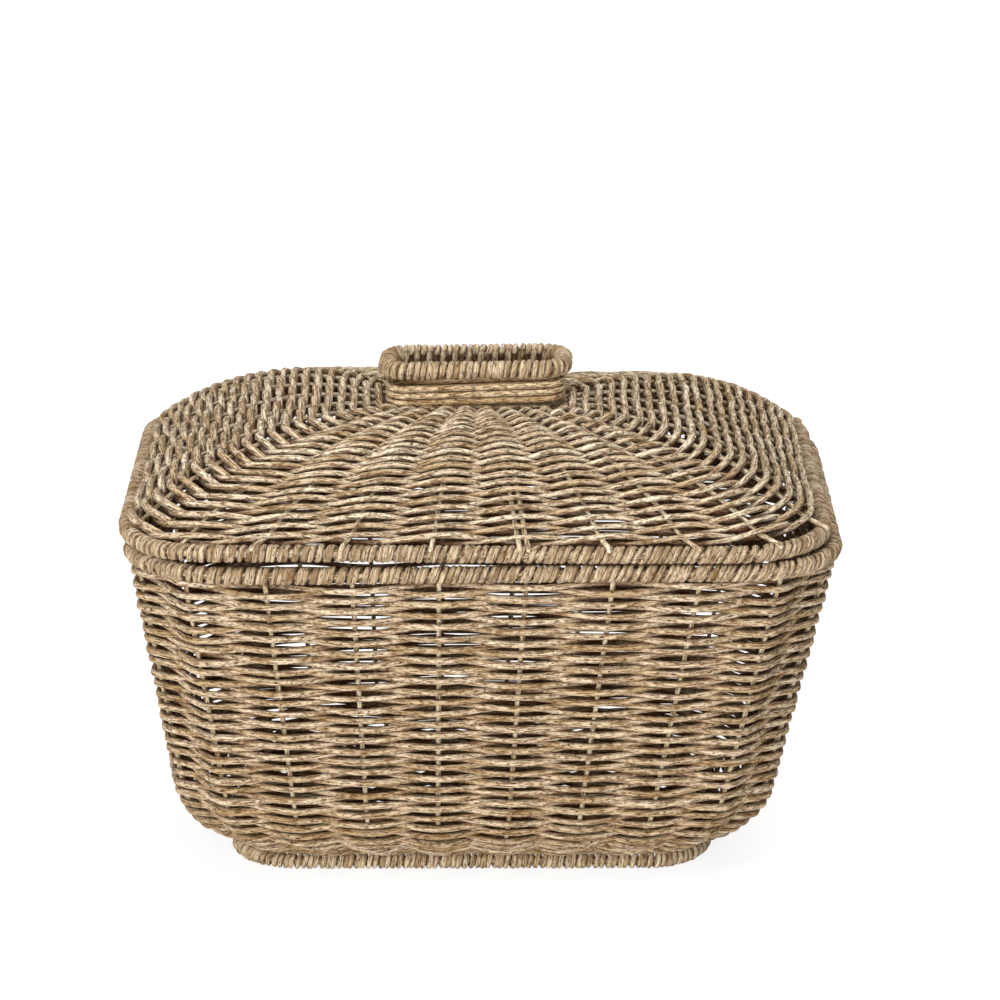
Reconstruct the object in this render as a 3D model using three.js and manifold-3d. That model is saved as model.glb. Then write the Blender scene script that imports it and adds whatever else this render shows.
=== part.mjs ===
// Woven lidded box: a rattan basket on a bound foot ring, with a domed lift-off lid and a ring handle.
// Millimetres, +Z up, the long side faces -Y, the foot stands on Z = 0.
import * as THREE from "three";
import Module from "manifold-3d";

// Overall form
const RIM_LENGTH = 430;
const RIM_DEPTH = 330;
const RIM_CORNER = 65;
const RIM_Z = 209.2;
const RIM_TUBE = 10.8;
const RIM_HOOP = 5.4;
const RIM_BOW = 1.8;
const WALL_LEAN = THREE.MathUtils.degToRad(11);
const BEND_RADIUS = 45;
const CORNER_TIGHTENING = 0.3;

// Foot ring
const FOOT_LENGTH = 293;
const FOOT_DEPTH = 191;
const FOOT_CORNER = 42;
const FOOT_TUBE = 10.5;
const FOOT_HOOP = 4.4;

// Reeds and weave
const STAKES = 28;
const FRONT_SHARE = 0.45;
const STAKE = 3;
const WEFT = 4;
const WALL_ROWS = 18;
const LID_ROWS = 18;
const GAP = 0.3;

// Lid
const DOME_RISE = 48.5;
const DOME_POWER = 2.3;
const END_POWER = 3.2;
const COLLAR_LENGTH = 120;
const COLLAR_DEPTH = 53;
const COLLAR_REED = 4;
const COLLAR_REEDS = 3;
const CROWN_THICKNESS = 2.6;

// Ring handle and its winding
const HANDLE_CORE = 4.8;
const HANDLE_STRAND = 3.4;
const HANDLE_PITCH = 4.05;
const LEAST_STRAND_GAP = 0.4;

// Mesh steps
const FLAT_STEPS = 2;
const CORNER_STEPS = 5;
const BEND_STEPS = 4;
const DOME_STEPS = 4;
const REED_SIDES = 5;
const HOOP_SIDES = 4;
const RIM_BINDING_SIDES = 6;
const FOOT_BINDING_SIDES = 5;
const BINDING_INNER_SIDES = 4;
const STRAND_SIDES = 5;
const STEPS_PER_TURN = 8;

// Sizes that follow from those above
const QUARTERS = 4;
const HALF = 0.5;
const UP = new THREE.Vector3(0, 0, 1);
const STAKE_RADIUS = STAKE / 2;
const GROOVE = STAKE_RADIUS + GAP;
const GROOVE_SIDE = STAKE_RADIUS + 3 * GAP;
const SLOT_SIDE = STAKE_RADIUS + 4 * GAP;
const HOLLOW = GROOVE + 3 * GAP;
const THIN = WEFT / 2;
const THICK = STAKE_RADIUS + WEFT;
const LAYER = STAKE + GAP;
const FRONT_STAKES = 3;
const CORNER_STAKES = 2;
const SIDE_STAKES = 2;
const QUARTER_STAKES = FRONT_STAKES + CORNER_STAKES + SIDE_STAKES;
const footSection = sleeveSection(FOOT_TUBE, FOOT_HOOP, Math.PI / 2, FOOT_BINDING_SIDES);
const footHeights = footSection.map(([, up]) => up);
const FOOT_CENTRE_Z = -Math.min(...footHeights);
const BASE_Z = FOOT_CENTRE_Z + Math.max(...footHeights) + GAP + THICK;
const BEND_Z = BASE_Z + BEND_RADIUS;
const STRAIGHT = (RIM_Z - BEND_Z + BEND_RADIUS * Math.sin(WALL_LEAN)) / Math.cos(WALL_LEAN);
const BEND_INSET = RIM_TUBE / 2 + STRAIGHT * Math.sin(WALL_LEAN) + BEND_RADIUS * Math.cos(WALL_LEAN);
const LID_RIM_Z = RIM_Z + RIM_TUBE + GAP;
const CROWN_Z = LID_RIM_Z + DOME_RISE;
const COLLAR_Z = CROWN_Z + THICK + GAP + COLLAR_REED / 2;
const COLLAR_LAYER = COLLAR_REED + GAP;
const WINDING_RADIUS = HANDLE_STRAND / 2 + HANDLE_CORE / 2 + 2 * GAP + HALF * GAP;
const HANDLE_TUBE = 2 * WINDING_RADIUS + HANDLE_STRAND;
const HANDLE_INSET = (HANDLE_TUBE - COLLAR_REED) / 2;
const HANDLE_TOUCH = (HANDLE_TUBE + COLLAR_REED) / 2;
const HANDLE_LIFT = Math.sqrt(HANDLE_TOUCH ** 2 - HANDLE_INSET ** 2);
const HANDLE_Z = COLLAR_Z + COLLAR_LAYER * (COLLAR_REEDS - 1) + HANDLE_LIFT;

// Materials
const REED = new THREE.MeshStandardMaterial({ color: 0xb9a27e, roughness: 0.75, metalness: 0 });
const STAKE_REED = new THREE.MeshStandardMaterial({ color: 0xc9b796, roughness: 0.7, metalness: 0 });
const BINDING = new THREE.MeshStandardMaterial({ color: 0xa98f69, roughness: 0.75, metalness: 0 });

const wasm = await Module();
wasm.setup();
const object = new THREE.Group();
object.name = "woven_lidded_box";

function addPart(name, geometry, material) {
  const mesh = new THREE.Mesh(geometry, material);
  mesh.name = name;
  object.add(mesh);
  return mesh;
}

// A closed surface from points and triangles, turned to face outwards
function closedSurface(points, triangles) {
  const cross = new THREE.Vector3();
  let volume = 0;
  for (const [a, b, c] of triangles) {
    cross.crossVectors(points[b], points[c]);
    volume += points[a].dot(cross);
  }
  const faces = volume < 0 ? triangles.map(([a, b, c]) => [a, c, b]) : triangles;
  const geometry = new THREE.BufferGeometry().setFromPoints(points);
  geometry.setIndex(faces.flat());
  geometry.computeVertexNormals();
  return geometry;
}

// A quarter of a rounded rectangle: half the long flat, a corner, half the short flat
function quarterLengths({ halfX, halfY, radius }) {
  const flatX = halfX - radius;
  const flatY = halfY - radius;
  const arc = (Math.PI / 2) * radius;
  return { flatX, flatY, arc, quarter: flatX + arc + flatY };
}

// The quadrant that the share u lies in, and how far it is from the middle of the long flat
function quarterPlace(quarter, u) {
  const turn = (u - Math.floor(u)) * QUARTERS;
  const quadrant = Math.floor(turn);
  const share = turn - quadrant;
  return { quadrant, along: quarter * (quadrant % 2 === 0 ? share : 1 - share) };
}

// A point of a rounded rectangle at the share u of its way round, from the middle of the front to +X
function outlinePoint(line, u) {
  const { flatX, flatY, quarter } = quarterLengths(line);
  const { quadrant, along } = quarterPlace(quarter, u);
  const { radius } = line;
  const angle = THREE.MathUtils.clamp((along - flatX) / radius, 0, Math.PI / 2);
  const x = Math.min(along, flatX) + radius * Math.sin(angle);
  const y = Math.min(quarter - along, flatY) + radius * Math.cos(angle);
  const signX = quadrant < 2 ? 1 : -1;
  const signY = quadrant === 1 || quadrant === 2 ? 1 : -1;
  const normal = new THREE.Vector3(signX * Math.sin(angle), signY * Math.cos(angle), 0);
  const tangent = new THREE.Vector3().crossVectors(UP, normal);
  return { position: new THREE.Vector3(signX * x, signY * y, 0), normal, tangent };
}

// Shares of the way round at which a ring is sampled: few on the flats, more in the corners
function outlineShares(line, flatSteps, cornerSteps) {
  const { flatX, flatY, arc, quarter } = quarterLengths(line);
  const stretches = [[flatX, flatSteps], [arc, cornerSteps]];
  if (flatY > GAP) stretches.push([flatY, flatSteps]);
  const lengths = [];
  let start = 0;
  for (const [length, steps] of stretches) {
    for (let i = 0; i < steps; i++) lengths.push(start + (length * i) / steps);
    start += length;
  }
  const shares = [];
  for (let quadrant = 0; quadrant < QUARTERS; quadrant++) {
    const mirrored = lengths.map((length) => quarter - length).reverse();
    const run = quadrant % 2 === 0 ? lengths : [0, ...mirrored.filter((length) => length < quarter)];
    for (const length of run) shares.push((quadrant + length / quarter) / QUARTERS);
  }
  return shares;
}

const RIM_LINE = {
  halfX: RIM_LENGTH / 2 - RIM_TUBE / 2,
  halfY: RIM_DEPTH / 2 - RIM_TUBE / 2,
  radius: RIM_CORNER - RIM_TUBE / 2,
};

// How far a rim bows away from the other one at the share u: nothing at the corners, most mid-side
function rimBow(u) {
  const { flatX, arc, quarter } = quarterLengths(RIM_LINE);
  const { along } = quarterPlace(quarter, u);
  const corner = flatX + arc / 2;
  const toCorner = along < corner ? along / corner : (quarter - along) / (quarter - corner);
  return RIM_BOW * Math.cos((Math.PI / 2) * toCorner) ** 2;
}

// The wall's middle surface: a leaning straight, then a bend down to the base
function wallLevel(inset, z, lean, bow) {
  const line = {
    halfX: RIM_LENGTH / 2 - inset,
    halfY: RIM_DEPTH / 2 - inset,
    radius: RIM_CORNER - inset * CORNER_TIGHTENING,
  };
  return { line, bow: -bow, height: () => z, tilt: () => -lean };
}

function wallStraight(distance) {
  const inset = RIM_TUBE / 2 + distance * Math.sin(WALL_LEAN);
  const z = RIM_Z - distance * Math.cos(WALL_LEAN);
  return wallLevel(inset, z, WALL_LEAN, 1 - distance / STRAIGHT);
}

function wallBend(share) {
  const lean = THREE.MathUtils.lerp(WALL_LEAN, Math.PI / 2, share);
  const inset = BEND_INSET - BEND_RADIUS * Math.cos(lean);
  return wallLevel(inset, BEND_Z - BEND_RADIUS * Math.sin(lean), lean, 0);
}

// The lid's middle surface, from its rim at share 0 to the collar at share 1
const CROWN_LINE = {
  halfX: COLLAR_LENGTH / 2 - COLLAR_REED,
  halfY: COLLAR_DEPTH / 2 - COLLAR_REED,
  radius: COLLAR_DEPTH / 2 - COLLAR_REED,
};
const DOME_RUN = (RIM_LINE.halfX - CROWN_LINE.halfX + RIM_LINE.halfY - CROWN_LINE.halfY) / 2;
const DOME_START = Math.hypot(DOME_RUN, DOME_RISE * DOME_POWER);

// The dome swells more towards its ends than towards the front and back
function lidLevel(share) {
  const mix = (key) => THREE.MathUtils.lerp(RIM_LINE[key], CROWN_LINE[key], share);
  const line = { halfX: mix("halfX"), halfY: mix("halfY"), radius: mix("radius") };
  const power = (normal) => THREE.MathUtils.lerp(DOME_POWER, END_POWER, normal.x ** 2);
  const height = (normal) => LID_RIM_Z + DOME_RISE * (1 - (1 - share) ** power(normal));
  const climb = (normal) => DOME_RISE * power(normal) * (1 - share) ** (power(normal) - 1);
  const tilt = (normal) => Math.PI / 2 - Math.atan2(climb(normal), DOME_RUN);
  return { line, bow: 1 - share, height, tilt };
}

// A point on a level, with the surface's outward normal and the way round it
function surfacePoint(level, u) {
  const { position, normal, tangent } = outlinePoint(level.line, u);
  position.z = level.height(normal) + level.bow * rimBow(u);
  const tilt = level.tilt(normal);
  const outward = normal.clone().multiplyScalar(Math.cos(tilt));
  outward.addScaledVector(UP, Math.sin(tilt));
  return { position, outward, tangent };
}

function offsetPoint({ position, outward, tangent }, along, out) {
  return position.clone().addScaledVector(tangent, along).addScaledVector(outward, out);
}

// The share of the way round at stake place i: a wider pitch along the front and back than round the ends
function stakeShare(i) {
  const { quadrant, along } = quarterPlace(QUARTER_STAKES, (i + HALF) / STAKES);
  const onFront = Math.min(along / FRONT_STAKES, 1);
  const onEnd = Math.max(along - FRONT_STAKES, 0) / (QUARTER_STAKES - FRONT_STAKES);
  const share = THREE.MathUtils.lerp(onEnd, onFront, FRONT_SHARE);
  return (quadrant + (quadrant % 2 === 0 ? share : 1 - share)) / QUARTERS;
}

// Joins two neighbouring columns of a shell, which may have different numbers of points
function zipColumns(left, right, triangles) {
  let [j, k] = [0, 0];
  while (j + k + 2 < left.length + right.length) {
    const onLeft = (j + HALF) / (left.length - 1) <= (k + HALF) / (right.length - 1);
    triangles.push([left[j], right[k], onLeft ? left[j + 1] : right[k + 1]]);
    if (onLeft) j += 1;
    else k += 1;
  }
}

// A woven wall as one closed shell: thick where wefts cross a stake, thin between stakes,
// with an open groove on its inner face for each stake. levelAt gives its middle surface from edge to edge.
// On the outer face, rises(i, row) says whether a row goes over stake i or dips behind it.
function wovenShell(levelAt, steps, rows, rises) {
  const points = [];
  const triangles = [];
  const column = (count, place) => {
    const indices = [];
    for (let k = 0; k <= count; k++) indices.push(points.push(place(k / count, k)) - 1);
    return indices;
  };
  const valleys = Math.max(steps, rows / 2);
  const columns = [];
  for (let i = 0; i < STAKES; i++) {
    const stake = (share) => surfacePoint(levelAt(share), stakeShare(i));
    const between = (share) => surfacePoint(levelAt(share), stakeShare(i + HALF));
    const crossing = (share, row) => offsetPoint(stake(share), 0, rises(i, row) ? THICK : HOLLOW);
    columns.push({
      crossing: column(rows, crossing),
      valley: column(valleys, (share) => offsetPoint(between(share), 0, THIN)),
      innerValley: column(steps, (share) => offsetPoint(between(share), 0, -THIN)),
      mouthAfter: column(steps, (share) => offsetPoint(stake(share), GROOVE_SIDE, -THICK)),
      bedAfter: column(steps, (share) => offsetPoint(stake(share), GROOVE_SIDE, GROOVE)),
      bedBefore: column(steps, (share) => offsetPoint(stake(share), -GROOVE_SIDE, GROOVE)),
      mouthBefore: column(steps, (share) => offsetPoint(stake(share), -GROOVE_SIDE, -THICK)),
    });
  }
  columns.forEach((here, i) => {
    const before = columns[(i + STAKES - 1) % STAKES];
    const around = [
      before.valley, here.crossing, here.valley, here.innerValley, here.mouthAfter,
      here.bedAfter, here.bedBefore, here.mouthBefore, before.innerValley,
    ];
    const runs = [[0, 1], [1, 2], [3, 4], [4, 5], [5, 6], [6, 7], [7, 8]];
    for (const [from, to] of runs) zipColumns(around[from], around[to], triangles);
    const fan = [[2, 3, 4], [2, 4, 5], [1, 2, 5], [1, 5, 6], [0, 1, 6], [0, 6, 7], [0, 7, 8]];
    for (const corners of fan) {
      const [a, b, c] = corners.map((corner) => around[corner]);
      triangles.push([a.at(0), c.at(0), b.at(0)]);
      triangles.push([a.at(-1), b.at(-1), c.at(-1)]);
    }
  });
  return closedSurface(points, triangles);
}

// A round reed along points, with flat ends
function reedTube(path, diameter, sides, sideways) {
  const points = [];
  path.forEach((point, i) => {
    const before = path[Math.max(i - 1, 0)];
    const after = path[Math.min(i + 1, path.length - 1)];
    const ahead = new THREE.Vector3().subVectors(after, before).normalize();
    const across = new THREE.Vector3().crossVectors(sideways[i], ahead).normalize();
    const beside = new THREE.Vector3().crossVectors(ahead, across);
    for (let k = 0; k < sides; k++) {
      const angle = (2 * Math.PI * (k + HALF)) / sides;
      const rim = point.clone().addScaledVector(beside, (diameter / 2) * Math.cos(angle));
      points.push(rim.addScaledVector(across, (diameter / 2) * Math.sin(angle)));
    }
  });
  const triangles = [];
  for (let i = 0; i + 1 < path.length; i++) {
    for (let k = 0; k < sides; k++) {
      const a = i * sides + k;
      const b = i * sides + ((k + 1) % sides);
      triangles.push([a, b, b + sides], [a, b + sides, a + sides]);
    }
  }
  const end = (path.length - 1) * sides;
  for (let k = 1; k + 1 < sides; k++) {
    triangles.push([0, k + 1, k]);
    triangles.push([end, end + k, end + k + 1]);
  }
  return closedSurface(points, triangles);
}

// A closed ring: a section of [out, up] points carried round a line
function ringSweep(line, shares, height, section) {
  const points = [];
  for (const u of shares) {
    const { position, normal } = outlinePoint(line, u);
    for (const [out, up] of section) {
      const point = position.clone().addScaledVector(normal, out);
      points.push(point.addScaledVector(UP, height(u) + up));
    }
  }
  const count = section.length;
  const triangles = [];
  shares.forEach((_, i) => {
    const next = ((i + 1) % shares.length) * count;
    for (let k = 0; k < count; k++) {
      const l = (k + 1) % count;
      const a = i * count + k;
      const b = i * count + l;
      triangles.push([a, b, next + l], [a, next + l, next + k]);
    }
  });
  return closedSurface(points, triangles);
}

function roundSection(diameter, sides) {
  const section = [];
  for (let k = 0; k < sides; k++) {
    const angle = (2 * Math.PI * (k + HALF)) / sides - Math.PI / 2;
    section.push([(diameter / 2) * Math.cos(angle), (diameter / 2) * Math.sin(angle)]);
  }
  return section;
}

// A sleeve of binding round a hoop, open along one side where the stakes come in
function sleeveSection(outer, hoop, openAngle, sides) {
  const inner = hoop / 2 + GAP;
  const slot = Math.asin(Math.min(SLOT_SIDE / inner, 1));
  const wide = Math.asin((2 * SLOT_SIDE) / outer);
  const section = [];
  for (let k = 0; k <= sides; k++) {
    const angle = openAngle + THREE.MathUtils.lerp(wide, 2 * Math.PI - wide, k / sides);
    section.push([(outer / 2) * Math.cos(angle), (outer / 2) * Math.sin(angle)]);
  }
  for (let k = BINDING_INNER_SIDES; k >= 0; k--) {
    const angle = openAngle + THREE.MathUtils.lerp(slot, 2 * Math.PI - slot, k / BINDING_INNER_SIDES);
    const reach = inner / Math.cos((Math.PI - slot) / BINDING_INNER_SIDES);
    const edge = k === 0 || k === BINDING_INNER_SIDES ? inner : reach;
    section.push([edge * Math.cos(angle), edge * Math.sin(angle)]);
  }
  return section;
}

function manifoldOf(geometry) {
  const points = geometry.getAttribute("position").array;
  const faces = new Uint32Array(geometry.index.array);
  const mesh = new wasm.Mesh({ numProp: 3, vertProperties: new Float32Array(points), triVerts: faces });
  mesh.merge();
  return new wasm.Manifold(mesh);
}

function geometryOf(solid) {
  const mesh = solid.getMesh();
  const points = new THREE.BufferAttribute(new Float32Array(mesh.vertProperties), mesh.numProp);
  const geometry = new THREE.BufferGeometry().setAttribute("position", points);
  geometry.setIndex(new THREE.BufferAttribute(new Uint32Array(mesh.triVerts), 1));
  geometry.computeVertexNormals();
  return geometry;
}

// A flat panel inside a woven edge, with its corners where the stakes and the thin places between them are
function slab(line, bottom, top) {
  const shares = [];
  for (let i = 0; i < STAKES; i += HALF) shares.push(stakeShare(i));
  const points = [];
  for (const z of [bottom, top]) {
    for (const u of shares) points.push(outlinePoint(line, u).position.setZ(z));
  }
  const count = shares.length;
  const triangles = [];
  for (let k = 0; k < count; k++) {
    const l = (k + 1) % count;
    triangles.push([k, l, l + count], [k, l + count, k + count]);
    if (k > 0 && k + 1 < count) {
      triangles.push([0, k + 1, k]);
      triangles.push([count, count + k, count + k + 1]);
    }
  }
  return closedSurface(points, triangles);
}

function box(x0, x1, y0, y1, z0, z1) {
  const block = new THREE.BoxGeometry(x1 - x0, y1 - y0, z1 - z0);
  return block.translate((x0 + x1) / 2, (y0 + y1) / 2, (z0 + z1) / 2);
}

// Levels shared by the weave and the stakes that run through it
const bendLevels = [];
for (let k = 0; k <= BEND_STEPS; k++) bendLevels.push(wallBend(k / BEND_STEPS));
const wallAt = (share) => wallStraight(THREE.MathUtils.lerp(STRAIGHT - GAP, RIM_TUBE / 2 + GAP, share));
const stakeTop = wallStraight(RIM_HOOP / 2 + GAP);
const domeEdge = (RIM_TUBE / 2 + GAP) / DOME_START;
const domeAt = (share) => lidLevel(THREE.MathUtils.lerp(domeEdge, 1, share));
const domeLevels = [];
for (let k = 0; k <= DOME_STEPS; k++) domeLevels.push(domeAt(k / DOME_STEPS));
const ribFoot = lidLevel((RIM_HOOP / 2 + 3 * GAP) / DOME_START);

// Foot ring
const FOOT_LINE = {
  halfX: FOOT_LENGTH / 2 - FOOT_TUBE / 2,
  halfY: FOOT_DEPTH / 2 - FOOT_TUBE / 2,
  radius: FOOT_CORNER - FOOT_TUBE / 2,
};
const footShares = outlineShares(FOOT_LINE, 1, CORNER_STEPS);
const footHeight = () => FOOT_CENTRE_Z;
addPart("foot_hoop", ringSweep(FOOT_LINE, footShares, footHeight, roundSection(FOOT_HOOP, HOOP_SIDES)), REED);
addPart("foot_binding", ringSweep(FOOT_LINE, footShares, footHeight, footSection), BINDING);

// Weave of the wall: smooth where it is packed at the upsett, plain weave above
const packed = () => true;
const plainWeave = (i, row) => (i + row) % 2 === 0;
addPart("upsett_weave", wovenShell(wallBend, BEND_STEPS, BEND_STEPS, packed), REED);
addPart("wall_weave", wovenShell(wallAt, 1, WALL_ROWS, plainWeave), REED);

// Base weave, with channels for the stakes that cross it
const BASE_RAMP = 6 * STAKE;
const baseLevel = bendLevels[BEND_STEPS];
const BASE_LINE = {
  halfX: baseLevel.line.halfX - GAP,
  halfY: baseLevel.line.halfY - GAP,
  radius: baseLevel.line.radius - GAP,
};
const baseTop = BASE_Z + LAYER;
let base = manifoldOf(slab(BASE_LINE, BASE_Z - THICK, baseTop));
for (let i = 0; i < FRONT_STAKES; i++) {
  const { x } = surfacePoint(baseLevel, stakeShare(i)).position;
  const { y } = surfacePoint(baseLevel, stakeShare(QUARTER_STAKES - 1 - i)).position;
  const { halfX, halfY } = baseLevel.line;
  const cuts = [
    box(x - GROOVE, x + GROOVE, -halfY, halfY, BASE_Z - GROOVE, baseTop + GAP),
    box(-x - GROOVE, -x + GROOVE, -halfY, halfY, BASE_Z - GROOVE, baseTop + GAP),
  ];
  if (i < SIDE_STAKES) {
    for (const line of [y, -y]) {
      cuts.push(box(-halfX, halfX, line - GROOVE, line + GROOVE, baseTop - GROOVE, baseTop + GAP));
      for (const end of [-1, 1]) {
        const [from, to] = [end * halfX, end * (halfX - BASE_RAMP)].sort((a, b) => a - b);
        cuts.push(box(from, to, line - GROOVE, line + GROOVE, BASE_Z - GROOVE, baseTop + GAP));
      }
    }
  }
  for (const cut of cuts) base = base.subtract(manifoldOf(cut));
}
addPart("base_weave", geometryOf(base), REED);

// One reed from the rim down a wall, or from the lid's rim up the dome, as points and sideways directions
function sideRun(levels, u) {
  const points = levels.map((level) => surfacePoint(level, u));
  return { path: points.map((p) => p.position), sideways: points.map((p) => p.tangent) };
}

// A run that stops short of the edge by one gap and a little more for its square end
function stoppedRun(levels, u) {
  const run = sideRun(levels, u);
  const end = run.path[run.path.length - 1];
  const back = new THREE.Vector3().subVectors(run.path[run.path.length - 2], end).normalize();
  end.addScaledVector(back, STAKE_RADIUS);
  return run;
}

// A reed that crosses from one side to the opposite one, changing layer just inside the edge
function crossingReed(levels, uNear, uFar, lift, ramp) {
  const near = sideRun(levels, uNear);
  const far = sideRun(levels, uFar);
  const edgeNear = near.path[near.path.length - 1];
  const edgeFar = far.path[far.path.length - 1];
  const inward = new THREE.Vector3().subVectors(edgeFar, edgeNear).normalize();
  const middle = [];
  if (lift !== 0) {
    middle.push(edgeNear.clone().addScaledVector(inward, ramp).setZ(edgeNear.z + lift));
    middle.push(edgeFar.clone().addScaledVector(inward, -ramp).setZ(edgeFar.z + lift));
  }
  const path = [...near.path, ...middle, ...far.path.reverse()];
  const sideways = near.sideways[near.sideways.length - 1];
  return { path, sideways: path.map(() => sideways) };
}

// The twin of stake i across the front-to-back or the left-to-right middle line
const acrossDepth = (i) => (STAKES * 3) / 2 - 1 - i;
const acrossLength = (i) => STAKES - 1 - i;

function addReeds(prefix, levels, lift, ramp) {
  const add = (name, { path, sideways }) => {
    addPart(name, reedTube(path, STAKE, REED_SIDES, sideways), STAKE_REED);
  };
  const numbers = { cross: 0, long: 0, corner: 0 };
  for (let i = -FRONT_STAKES; i < FRONT_STAKES; i++) {
    numbers.cross += 1;
    const far = stakeShare(acrossDepth(i) % STAKES);
    add(prefix + "cross_" + numbers.cross, crossingReed(levels, stakeShare(i), far, 0, ramp));
  }
  for (let k = -SIDE_STAKES; k < SIDE_STAKES; k++) {
    numbers.long += 1;
    const right = QUARTER_STAKES + k;
    const left = stakeShare(acrossLength(right));
    add(prefix + "long_" + numbers.long, crossingReed(levels, stakeShare(right), left, lift, ramp));
  }
  for (let i = 0; i < STAKES; i++) {
    const fold = i % (2 * QUARTER_STAKES);
    const inQuarter = fold < QUARTER_STAKES ? fold : 2 * QUARTER_STAKES - 1 - fold;
    if (inQuarter >= FRONT_STAKES && inQuarter < FRONT_STAKES + CORNER_STAKES) {
      numbers.corner += 1;
      add(prefix + "corner_" + numbers.corner, stoppedRun(levels, stakeShare(i)));
    }
  }
}
addReeds("stake_", [stakeTop, ...bendLevels], LAYER, BASE_RAMP);

// Rim of the basket
const rimShares = outlineShares(RIM_LINE, FLAT_STEPS, CORNER_STEPS);
const rimHeight = (u) => RIM_Z - rimBow(u);
const rimOpening = -Math.PI / 2 - WALL_LEAN;
const rimSleeve = sleeveSection(RIM_TUBE, RIM_HOOP, rimOpening, RIM_BINDING_SIDES);
addPart("rim_hoop", ringSweep(RIM_LINE, rimShares, rimHeight, roundSection(RIM_HOOP, HOOP_SIDES)), REED);
addPart("rim_binding", ringSweep(RIM_LINE, rimShares, rimHeight, rimSleeve), BINDING);

// Rim of the lid
const lidHeight = (u) => LID_RIM_Z + rimBow(u);
const lidOpening = Math.PI - Math.atan2((DOME_RISE * (DOME_POWER + END_POWER)) / 2, DOME_RUN);
const lidSleeve = sleeveSection(RIM_TUBE, RIM_HOOP, lidOpening, RIM_BINDING_SIDES);
addPart("lid_rim_hoop", ringSweep(RIM_LINE, rimShares, lidHeight, roundSection(RIM_HOOP, HOOP_SIDES)), REED);
addPart("lid_rim_binding", ringSweep(RIM_LINE, rimShares, lidHeight, lidSleeve), BINDING);

// Dome of the lid, twined in pairs that meet each rib at the same height, and its ribs
const twinedPairs = (i, row) => row % 2 === 0;
addPart("lid_weave", wovenShell(domeAt, DOME_STEPS, LID_ROWS, twinedPairs), REED);
addReeds("rib_", [ribFoot, ...domeLevels], -LAYER, BASE_RAMP);
const CROWN_MAT = {
  halfX: CROWN_LINE.halfX - GAP,
  halfY: CROWN_LINE.halfY - GAP,
  radius: CROWN_LINE.radius - GAP,
};
const crownBottom = CROWN_Z + STAKE_RADIUS + GAP;
addPart("crown_mat", slab(CROWN_MAT, crownBottom, crownBottom + CROWN_THICKNESS), REED);

// Collar of bare reeds under the handle
const COLLAR_LINE = {
  halfX: COLLAR_LENGTH / 2 - COLLAR_REED / 2,
  halfY: COLLAR_DEPTH / 2 - COLLAR_REED / 2,
  radius: COLLAR_DEPTH / 2 - COLLAR_REED / 2,
};
const collarShares = outlineShares(COLLAR_LINE, 1, CORNER_STEPS - 1);
for (let i = 0; i < COLLAR_REEDS; i++) {
  const height = () => COLLAR_Z + i * COLLAR_LAYER;
  const reed = ringSweep(COLLAR_LINE, collarShares, height, roundSection(COLLAR_REED, REED_SIDES));
  addPart("collar_reed_" + (i + 1), reed, STAKE_REED);
}

// Ring handle: a bare hoop and one strand wound round it
const HANDLE_LINE = {
  halfX: COLLAR_LENGTH / 2 - HANDLE_TUBE / 2,
  halfY: COLLAR_DEPTH / 2 - HANDLE_TUBE / 2,
  radius: COLLAR_DEPTH / 2 - HANDLE_TUBE / 2,
};
const handleShares = outlineShares(HANDLE_LINE, 1, CORNER_STEPS);
const handleCore = roundSection(HANDLE_CORE, REED_SIDES);
addPart("handle_hoop", ringSweep(HANDLE_LINE, handleShares, () => HANDLE_Z, handleCore), REED);

// The turns lie a pitch apart on the inside of the hoop, so they fan out in its round ends
function windingTurns() {
  const { flatX, arc, quarter } = quarterLengths(HANDLE_LINE);
  const innerArc = (arc * (HANDLE_LINE.radius - WINDING_RADIUS)) / HANDLE_LINE.radius;
  const innerQuarter = flatX + innerArc;
  const turns = Math.floor((QUARTERS * innerQuarter) / HANDLE_PITCH);
  const shareAt = (turn) => {
    const { quadrant, along } = quarterPlace(innerQuarter, turn / turns);
    const outer = Math.min(along, flatX) + (Math.max(along - flatX, 0) * arc) / innerArc;
    return (quadrant + (quadrant % 2 === 0 ? outer : quarter - outer) / quarter) / QUARTERS;
  };
  return { turns, shareAt };
}

function windingPath() {
  const { turns, shareAt } = windingTurns();
  const path = [];
  const sideways = [];
  for (let k = 0; k <= (turns - 1) * STEPS_PER_TURN; k++) {
    const turn = k / STEPS_PER_TURN;
    const { position, normal, tangent } = outlinePoint(HANDLE_LINE, shareAt(turn + HALF));
    const angle = 2 * Math.PI * turn;
    const point = position.setZ(HANDLE_Z).addScaledVector(normal, WINDING_RADIUS * Math.cos(angle));
    path.push(point.addScaledVector(UP, WINDING_RADIUS * Math.sin(angle)));
    sideways.push(tangent);
  }
  return { path, sideways };
}

function leastStrandGap(path) {
  let least = Infinity;
  path.forEach((point, i) => {
    for (let k = i + STEPS_PER_TURN / 2; k < path.length; k++) {
      least = Math.min(least, point.distanceTo(path[k]) - HANDLE_STRAND);
    }
  });
  return least;
}

const winding = windingPath();
const strandGap = leastStrandGap(winding.path);
console.log("handle winding: least gap to itself " + strandGap.toFixed(2) + " mm");
if (strandGap <= LEAST_STRAND_GAP) throw new Error("the handle winding touches itself");
addPart("handle_binding", reedTube(winding.path, HANDLE_STRAND, STRAND_SIDES, winding.sideways), BINDING);

export default object;
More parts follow.
